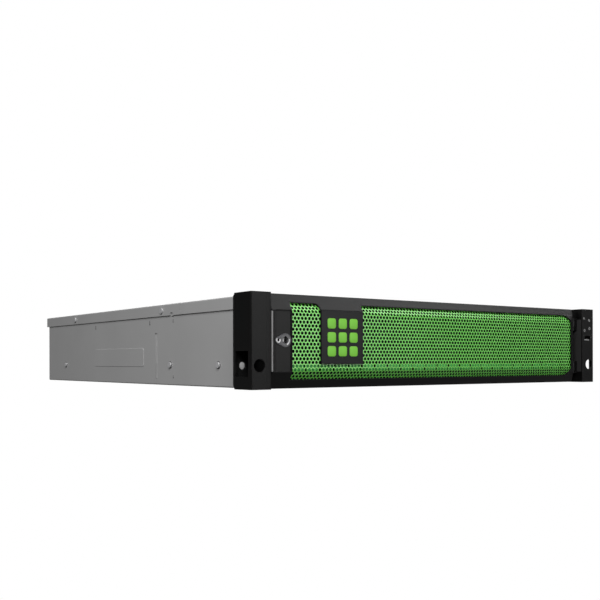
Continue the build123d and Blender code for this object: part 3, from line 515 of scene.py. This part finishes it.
def arc_band(mesh, place, outer, inner, start, end, rise):
    """Flat band bent round a centre, from one angle to another in degrees."""
    corners = ((outer, 0.0), (outer, rise), (inner, rise), (inner, 0.0))
    rows = []
    for step in range(band_steps + 1):
        turn = radians(start + (end - start) * step / band_steps)
        rows.append([mesh.verts.new(place @ Vector((r * cos(turn), r * sin(turn), h))) for r, h in corners])
    for one, other in zip(rows, rows[1:]):
        for k in range(4):
            mesh.faces.new((one[k], one[(k + 1) % 4], other[(k + 1) % 4], other[k]))
    mesh.faces.new(rows[0][::-1])
    mesh.faces.new(rows[-1])


def piece(mesh, name, body, made):
    """Turn a mesh under construction into a piece that rides on a body."""
    bmesh.ops.recalc_face_normals(mesh, faces=mesh.faces)
    data = bpy.data.meshes.new(name)
    mesh.to_mesh(data)
    mesh.free()
    for one in made if isinstance(made, (list, tuple)) else [made]:
        data.materials.append(one)
    data.shade_smooth()
    data.set_sharp_from_angle(angle=radians(sharp_angle))
    return place_piece(data, name, body)


def place_piece(data, name, body, x=0.0):
    """Link a mesh as a piece at an X offset."""
    made = bpy.data.objects.new(name, data)
    bpy.context.scene.collection.objects.link(made)
    made.location.x = x
    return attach(made, body)


def grille_point(u, v, inset):
    """Point of the bent sheet. u runs along its plan, v up its side profile and inset into it."""
    round_end = grille_end_round - inset
    turn = max(0.0, (u - grille_end) / grille_end_round)
    x = min(u, grille_end) + round_end * sin(turn)
    plan_depth = inset + round_end * (1 - cos(turn))
    way = 1 if v > 0 else -1
    arc_start = grille_flat_half - grille_bend * tan(grille_lean / 2)
    over = max(0.0, abs(v) - arc_start)
    arc = min(over, grille_bend * grille_lean) / grille_bend
    run = max(0.0, over - grille_bend * grille_lean)
    reach = min(abs(v), arc_start) + (grille_bend - inset) * sin(arc) + run * cos(arc)
    side_depth = inset + (grille_bend - inset) * (1 - cos(arc)) + run * sin(arc)
    return Vector((x, at(grille_front + max(plan_depth, side_depth)), grille_middle + way * reach))


def make_grille():
    """Bent sheet with staggered round holes, in hexagonal cells that share their outer points."""
    mesh = bmesh.new()
    badge_low, badge_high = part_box("badge_plate")
    low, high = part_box("bezel_grille")
    u_ends = (low.x, opening_end + 2 * opening_lap)
    v_ends = [way * (grille_flat_half + (abs(z - grille_middle) - grille_flat_half) / cos(grille_lean))
              for way, z in ((-1, low.z), (1, high.z))]
    shared = {}

    def corner(u, v, inset):
        """Outer point of a cell, made once for the cells that share it."""
        u = min(max(u, u_ends[0]), u_ends[1])
        v = min(max(v, v_ends[0]), v_ends[1])
        key = (round(u * points_per_metre), round(v * points_per_metre), inset)
        if key not in shared:
            shared[key] = mesh.verts.new(grille_point(u, v, inset))
        return shared[key]

    def cell(u, v, holed):
        """One hexagon of the sheet, closed or with a hole. A hole's wall and back have the second colour, a
        painted shade that stands in for the dark inside the hole.
        """
        half, third = grille_pitch / 2, grille_row / 3
        corners = [(half, third), (0, 2 * third), (-half, third)]
        corners += [(-half, -third), (0, -2 * third), (half, -third)]
        outline = []
        for here, there in zip(corners, corners[1:] + corners[:1]):
            outline += [here, ((here[0] + there[0]) / 2, (here[1] + there[1]) / 2)]
        front = [corner(u + a, v + b, 0.0) for a, b in outline]
        back = [corner(u + a, v + b, grille_thickness) for a, b in outline]
        if not holed:
            for face in (front, back[::-1]):
                single = list(dict.fromkeys(face))
                if len(single) > 2:
                    mesh.faces.new(single)
            return
        turns = [atan2(b, a) for a, b in outline]
        hole = [(u + grille_hole * cos(turn), v + grille_hole * sin(turn)) for turn in turns]
        rims = [[mesh.verts.new(grille_point(a, b, inset)) for a, b in hole]
                for inset in (0.0, grille_thickness)]
        for k in range(grille_sides):
            after = (k + 1) % grille_sides
            quads = [(front[k], front[after], rims[0][after], rims[0][k]),
                     (rims[0][k], rims[0][after], rims[1][after], rims[1][k]),
                     (rims[1][k], rims[1][after], back[after], back[k])]
            for order, quad in enumerate(quads):
                single = list(dict.fromkeys(quad))
                if len(single) > 2:
                    mesh.faces.new(single).material_index = min(order, 1)

    rows = int((v_ends[1] - v_ends[0]) / grille_row) + spare_cells
    columns = int((u_ends[1] - u_ends[0]) / grille_pitch) + spare_cells
    margin = grille_hole + hole_margin
    for row in range(rows):
        v = (row - rows // 2 + 0.5) * grille_row + grille_row_shift
        for column in range(columns):
            u = low.x + grille_first + (column - 1 + row % 2 / 2) * grille_pitch
            inside = u_ends[0] - grille_pitch / 2 < u < u_ends[1] + grille_pitch / 2
            inside = inside and v_ends[0] - grille_row * 2 / 3 < v < v_ends[1] + grille_row * 2 / 3
            z = grille_point(u, v, 0.0).z
            behind = badge_low.x + badge_lap < u < badge_high.x - badge_lap and z > badge_low.z + badge_lap
            holed = u_ends[0] + margin < u < u_ends[1] - margin
            holed = holed and v_ends[0] + margin < v < v_ends[1] - margin
            if inside and not behind:
                cell(u, v, holed)
    partner = {vert: shared[u, v, grille_thickness] for (u, v, inset), vert in shared.items() if inset == 0.0}
    open_edges = [tuple(edge.verts) for edge in mesh.edges if edge.is_boundary]
    rim = [pair for pair in open_edges if pair[0] in partner and pair[1] in partner]
    for one, other in rim:
        mesh.faces.new((one, other, partner[other], partner[one]))
    # The second material is the painted shade inside the holes.
    made = piece(mesh, "perforated_grille", "bezel", [green_steel, hole_wall_shade])
    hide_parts("bezel_grille")


def frame_point(u, v, depth):
    """Point under the bezel frame's outer face, in the grille's own measures."""
    return grille_point(u, v, depth - grille_front)


def make_end_border():
    """Bent border with round corners that narrows the opening at its right end, flush with the frame."""
    mesh = bmesh.new()
    low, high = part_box("bezel_grille")
    reaches = [(way, z - grille_middle - way * opening_lap) for way, z in ((-1, low.z), (1, high.z))]
    ends = [way * (grille_flat_half + (abs(z) - grille_flat_half) / cos(grille_lean)) for way, z in reaches]
    inner = [v - way * border_round for way, v in zip((-1, 1), ends)]
    turns = [pi / 2 * step / border_steps for step in range(border_steps + 1)]
    edge = [(border_round * (1 - cos(turn)), inner[0] - border_round * sin(turn)) for turn in turns[::-1]]
    edge += [(0.0, inner[0] + (inner[1] - inner[0]) * step / border_rows) for step in range(1, border_rows)]
    edge += [(border_round * (1 - cos(turn)), inner[1] + border_round * sin(turn)) for turn in turns]
    rows = []
    for inset, v in edge:
        start = opening_end - inset
        across = [start + (border_end - start) * step / border_steps for step in range(border_steps + 1)]
        front = [mesh.verts.new(frame_point(u, v, border_depths[0])) for u in across]
        back = [mesh.verts.new(frame_point(u, v, border_depths[1])) for u in across]
        rows.append(front + back[::-1])
    for one, other in zip(rows, rows[1:]):
        for k in range(len(one)):
            after = (k + 1) % len(one)
            mesh.faces.new((one[k], one[after], other[after], other[k]))
    mesh.faces.new(rows[0][::-1])
    mesh.faces.new(rows[-1])
    piece(mesh, "bezel_end_border", "bezel", bezel_plastic)


def make_ear_corners():
    """Strips that square the ears' inner front corners beside the bezel, and a lining on the right ear's
    inner face, painted lighter as a stand-in for light in its shade.
    """
    large_turns = [pi / 2 * step / corner_steps for step in range(corner_steps + 1)]
    small_turns = [pi / 2 * step / edge_steps for step in range(edge_steps + 1)]
    for way, name in ((-1, "left"), (1, "right")):
        low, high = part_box("ear_cap_" + name)
        inner = high.x if way < 0 else low.x
        arc = [(way * ear_corner * (1 - cos(turn)), ear_corner * (1 - sin(turn))) for turn in large_turns]
        small = [(way * ear_edge * (1 - sin(turn)), ear_edge * (1 - cos(turn))) for turn in small_turns]
        outline = [(inner + x, front_y + y) for x, y in arc[:0:-1] + small[::-1]]
        mesh = bmesh.new()
        loft(mesh, Matrix(), [(outline, low.z), (outline, high.z)])
        piece(mesh, "ear_corner_" + name, "root", ear_trim)
    # Lining painted lighter as a stand-in for light on the right ear's shaded inner face.
    mesh = bmesh.new()
    lining = seat("left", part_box("ear_cap_right")[0].x, at(lining_middle), grille_middle)
    plate(mesh, lining, lining_width, lining_height, *lining_plate)
    piece(mesh, "ear_painted_light_right", "root", painted_light_grey)


def make_badge_relief():
    """Nine rounded squares on the plain badge plate."""
    low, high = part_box("badge_plate")
    middle_x, middle_z = (low.x + high.x) / 2, (low.z + high.z) / 2
    mesh = bmesh.new()
    for row in (-1, 0, 1):
        for column in (-1, 0, 1):
            place = seat("front", middle_x + column * square_step, low.y, middle_z + row * square_step)
            plate(mesh, place, square_size, square_size, *square_plate)
    piece(mesh, "badge_squares", "bezel", badge_green)


def make_ear_marks():
    """Printed marks round the controls, and the service port's frame, tongue and lamp."""
    for name, across in button_marks:
        low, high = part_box(name)
        mesh = bmesh.new()
        place = seat("front", (low.x + high.x) / 2 + across, front_y, (low.z + high.z) / 2)
        tube(mesh, place, *[circle(radius) for radius in button_radii], mark_rise)
        piece(mesh, name + "_mark", name, print_grey)
    mesh = bmesh.new()
    for x, z in indicator_places:
        arc_band(mesh, seat("front", x * MM, front_y, z * MM), *indicator_radii, *indicator_turns, mark_rise)
        bar = seat("front", x * MM, front_y, (z + indicator_bar_up) * MM)
        plate(mesh, bar, *indicator_bar, *indicator_plate)
    piece(mesh, "indicator_marks", "root", print_grey)
    low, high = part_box("usb_port")
    x, z = (low.x + high.x) / 2, (low.z + high.z) / 2
    width, height = high.x - low.x, high.z - low.z
    mesh = bmesh.new()
    outer = rectangle(width + rim_width, height + rim_width, rim_rounds[0])
    tube(mesh, seat("front", x, front_y, z), outer, rectangle(width, height, rim_rounds[1]), rim_rise)
    piece(mesh, "service_port_rim", "root", dark_plastic)
    mesh = bmesh.new()
    tongue = seat("front", x - tongue_shift, front_y, low.z + tongue_up)
    plate(mesh, tongue, *tongue_size, *tongue_plate)
    dome(mesh, seat("front", high.x + port_lamp_across, front_y, high.z - port_lamp_down), *port_lamp)
    piece(mesh, "service_port_tongue", "root", print_grey)


def make_lock_details():
    """Key slot in painted shade, painted highlight arcs on the barrel's rim, and a painted highlight round a
    painted shade on the clip in the escutcheon's tail.
    """
    x, _, z = pivots["lock_turn"]
    barrel = seat("front", x, front_y, z)
    mesh = bmesh.new()
    # Key slots drawn as flat plates of painted shade.
    for tilt, length, rise in key_slots:
        place = barrel @ Matrix.Rotation(radians(tilt), 4, "Z")
        plate(mesh, place, slot_width, length, slot_round, rise, slot_edge)
    piece(mesh, "key_slot", "lock", hole_shade_black)
    mesh = bmesh.new()
    # Arcs of painted highlight on the barrel's rim.
    for arc in highlight_arcs:
        arc_band(mesh, barrel, *arc, arc_rise)
    piece(mesh, "lock_rim_highlight", "lock", highlight_steel)
    # C-shaped painted highlight on the clip, round a dot of painted shade.
    mesh = bmesh.new()
    clip = seat("front", x - clip_shift, at(clip_depth), z)
    arc_band(mesh, clip, *clip_highlight_arc)
    piece(mesh, "lock_clip_highlight", "bezel", highlight_steel)
    mesh = bmesh.new()
    dome(mesh, clip, *clip_centre_shade)
    piece(mesh, "lock_centre_shade", "bezel", hole_shade_black)


def make_carrier_trims():
    """Front of a drive carrier: release tab, side rails, vent insert, bars and lamps, one mesh for all."""
    low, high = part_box("drive_carrier_01")
    width = high.x - low.x
    face_y = low.y + trim_depth
    mesh = bmesh.new()
    tab = seat("front", 0, low.y, tab_up * MM)
    plate(mesh, tab, width - tab_gap, *tab_plate, colour=1)
    for rib in (-1, 0, 1):
        place = seat("front", 0, low.y - rib_depth, (tab_up + rib_step * rib) * MM)
        plate(mesh, place, width - rib_gap, *rib_plate, colour=1)
    for way in (-1, 1):
        rail = seat("front", way * (width / 2 - rail_inset), face_y, rail_up)
        plate(mesh, rail, rail_width, *rail_plate)
        lamp = seat("front", way * bay_lamp_across, face_y, bay_lamp_up)
        dome(mesh, lamp, *bay_lamp, colour=2 if way < 0 else 3)
    for up, bar in bars:
        plate(mesh, seat("front", 0, face_y, up), width - bar_gap, *bar)
    for step in range(vents):
        place = seat("front", 0, face_y + vent_depth, (vent_first + vent_step * step) * MM)
        plate(mesh, place, width - vent_gap, *vent_plate)
    materials = [carrier_plastic, release_green, green_lamp, amber_lamp]
    first = piece(mesh, "carrier_trim_01", bay_bodies[0], materials)
    data = first.data
    bpy.data.objects.remove(first)
    for body in bay_bodies:
        low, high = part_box("drive_" + body)
        middle = (low.x + high.x) / 2
        place_piece(data, "carrier_trim_" + body[-2:], body, x=middle)


def make_ports():
    """Metal cages and contacts in the ports of the expander modules."""
    for name, box in sorted(stated.items()):
        if not name.startswith(("cable_port", "service_port")):
            continue
        low, high = Vector(box[0]), Vector(box[1])
        level = "upper" if "upper" in name else "lower"
        centre = ((low.x + high.x) / 2, at(rear_face), (low.z + high.z) / 2)
        width, height = high.x - low.x, high.z - low.z
        place = seat("rear", *centre)
        mesh = bmesh.new()
        inner = rectangle(width - cage_inside, height - cage_inside, cage_rounds[0])
        collar = rectangle(width + cage_collar, height + cage_collar, cage_rounds[1])
        tube(mesh, place, collar, inner, cage_rise)
        wall = rectangle(width + cage_wall, height + cage_wall, cage_rounds[2])
        tube(mesh, place, wall, inner, 0.0, foot=cage_foot)
        if name.startswith("cable"):
            plate(mesh, place, width - cable_gap, *cable_plate, foot=cable_foot, colour=1)
        else:
            for contact in range(contacts):
                across = (contact - (contacts - 1) / 2) * contact_pitch * MM
                spot = place @ Matrix.Translation((across, contact_up, 0))
                plate(mesh, spot, *contact_plate, foot=contact_foot, colour=2)
        metals = [bright_steel, dark_plastic, gold_contact]
        piece(mesh, name + "_cage", "module_" + level, metals)
        mesh = bmesh.new()
        for way in (-1, 1):
            spot = place @ Matrix.Translation((way * port_lamps_across * MM, height / 2 + port_lamps_up, 0))
            dome(mesh, spot, *port_lamps, colour=(way + 1) // 2)
        piece(mesh, name + "_lamps", "module_" + level, [green_lamp, amber_lamp])


def make_supply_details(side):
    """Guard rings, inlet pins and lamps of one power supply."""
    body = "psu_" + side
    x, _, z = pivots["psu_fan_spin_" + side]
    low, high = (Vector(corner) for corner in stated["mains_inlet_" + side])
    mesh = bmesh.new()
    place = seat("rear", x, at(rear_face), z)
    for radius in guard_radii:
        outer, inner = [circle((radius + way * guard_half) * MM, guard_sides) for way in (1, -1)]
        tube(mesh, place, outer, inner, guard_rise, foot=guard_foot)
    tube(mesh, place, *[circle(radius, guard_rim_sides) for radius in guard_rim], guard_rim_rise)
    piece(mesh, "fan_guard_" + side, body, bright_steel)
    mesh = bmesh.new()
    inlet = seat("rear", (low.x + high.x) / 2, at(rear_face), (low.z + high.z) / 2)
    for across, up in inlet_pins:
        pin = inlet @ Matrix.Translation((across * MM, up * MM, 0))
        plate(mesh, pin, *pin_plate, foot=pin_foot)
    piece(mesh, "inlet_pins_" + side, body, bright_steel)
    mesh = bmesh.new()
    for index in range(supply_lamps):
        across = (supply_lamp_first + supply_lamp_step * index) * MM
        dome(mesh, seat("rear", x + across, at(rear_face), supply_lamp_up), *supply_lamp, colour=index % 2)
    piece(mesh, "supply_lamps_" + side, body, [green_lamp, amber_lamp])


def make_side_marks():
    """Painted shade for slots punched in both side walls and round the studs, a painted highlight on the
    seam's fold, and the locating studs, whose pale colour is partly painted light.
    """
    for side, way in (("left", -1), ("right", 1)):
        mesh = bmesh.new()
        # Slots drawn as flat grey marks of painted shade.
        for depth, up, width, height in side_slots:
            place = seat(side, way * side_x, at(depth * MM), up * MM)
            plate(mesh, place, width * MM, height * MM, *slot_plate)
        # Rings of painted shade round the studs.
        for depth in stud_depths:
            place = seat(side, way * side_x, at(depth * MM), stud_up)
            tube(mesh, place, *[circle(radius) for radius in stud_shade_ring], stud_shade_ring_rise)
        piece(mesh, "side_marks_" + side, "root", shade_grey)
        mesh = bmesh.new()
        # Pale strip as the fold's painted highlight, and the locating stud painted pale, partly as painted
        # light.
        fold = seat(side, way * side_x, at(fold_place[0]), fold_place[1])
        plate(mesh, fold, *fold_size, *fold_plate)
        locating = seat(side, way * side_x, at(locating_place[0]), locating_place[1])
        dome(mesh, locating, *locating_stud)
        piece(mesh, "side_fold_highlight_" + side, "root", highlight_steel)


def seen_first(nodes, links, seen, unseen, output):
    """Shader that is white for the camera and dim for every other ray."""
    path = nodes.new("ShaderNodeLightPath")
    blend = nodes.new("ShaderNodeMixShader")
    links.new(path.outputs["Is Camera Ray"], blend.inputs["Fac"])
    links.new(unseen, blend.inputs[1])
    links.new(seen, blend.inputs[2])
    links.new(blend.outputs["Shader"], output.inputs["Surface"])


def make_stage():
    """Pale floor, soft lights and the photograph's camera."""
    scene = bpy.context.scene
    mesh = bmesh.new()
    bmesh.ops.create_grid(mesh, x_segments=1, y_segments=1, size=floor_size)
    data = bpy.data.meshes.new("floor")
    mesh.to_mesh(data)
    mesh.free()
    floor = bpy.data.objects.new("floor", data)
    floor.location.z = -floor_drop
    pale = bpy.data.materials.new("pale_floor")
    pale.use_nodes = True
    nodes, links = pale.node_tree.nodes, pale.node_tree.links
    nodes.remove(nodes["Principled BSDF"])
    white = nodes.new("ShaderNodeEmission")
    dim = nodes.new("ShaderNodeEmission")
    path = nodes.new("ShaderNodeLightPath")
    level = nodes.new("ShaderNodeMapRange")
    level.inputs["To Min"].default_value = floor_light
    level.inputs["To Max"].default_value = floor_gloss
    links.new(path.outputs["Is Glossy Ray"], level.inputs["Value"])
    links.new(level.outputs["Result"], dim.inputs["Strength"])
    seen_first(nodes, links, white.outputs["Emission"], dim.outputs["Emission"], nodes["Material Output"])
    data.materials.append(pale)
    floor.visible_shadow = False
    scene.collection.objects.link(floor)

    world = bpy.data.worlds.new("studio")
    world.use_nodes = True
    scene.world = world
    nodes, links = world.node_tree.nodes, world.node_tree.links
    seen = nodes["Background"]
    seen.inputs["Color"].default_value = (1, 1, 1, 1)
    fill = nodes.new("ShaderNodeBackground")
    fill.inputs["Color"].default_value = world_tint
    fill.inputs["Strength"].default_value = world_light
    seen_first(nodes, links, seen.outputs["Background"], fill.outputs["Background"], nodes["World Output"])

    for name, place, size, watts in lamps:
        lamp = bpy.data.lights.new(name, "AREA")
        lamp.shape = "DISK"
        lamp.size = size
        lamp.energy = watts
        softbox = bpy.data.objects.new(name, lamp)
        softbox.location = place
        softbox.rotation_euler = (lamp_target - Vector(place)).to_track_quat("-Z", "Y").to_euler()
        scene.collection.objects.link(softbox)

    camera = bpy.data.cameras.new("camera")
    camera.sensor_width = sensor
    camera.lens = focal_pixels / photo_size * sensor
    camera.shift_x = (photo_size / 2 - photo_centre[0]) / photo_size
    camera.shift_y = (photo_centre[1] - photo_size / 2) / photo_size
    camera.clip_start = near_limit
    viewer = bpy.data.objects.new("camera", camera)
    viewer.location = camera_place
    turn = Matrix.Rotation(-radians(camera_yaw), 3, "Z") @ Matrix.Rotation(radians(90), 3, "X")
    viewer.rotation_euler = (turn @ Matrix.Rotation(radians(camera_roll), 3, "Z")).to_euler()
    scene.collection.objects.link(viewer)
    scene.camera = viewer
    scene.view_settings.view_transform = "Standard"


make_stage()
make_grille()
make_end_border()
make_ear_corners()
make_badge_relief()
make_ear_marks()
make_lock_details()
make_carrier_trims()
make_ports()
for side_name in ("left", "right"):
    make_supply_details(side_name)
make_side_marks()
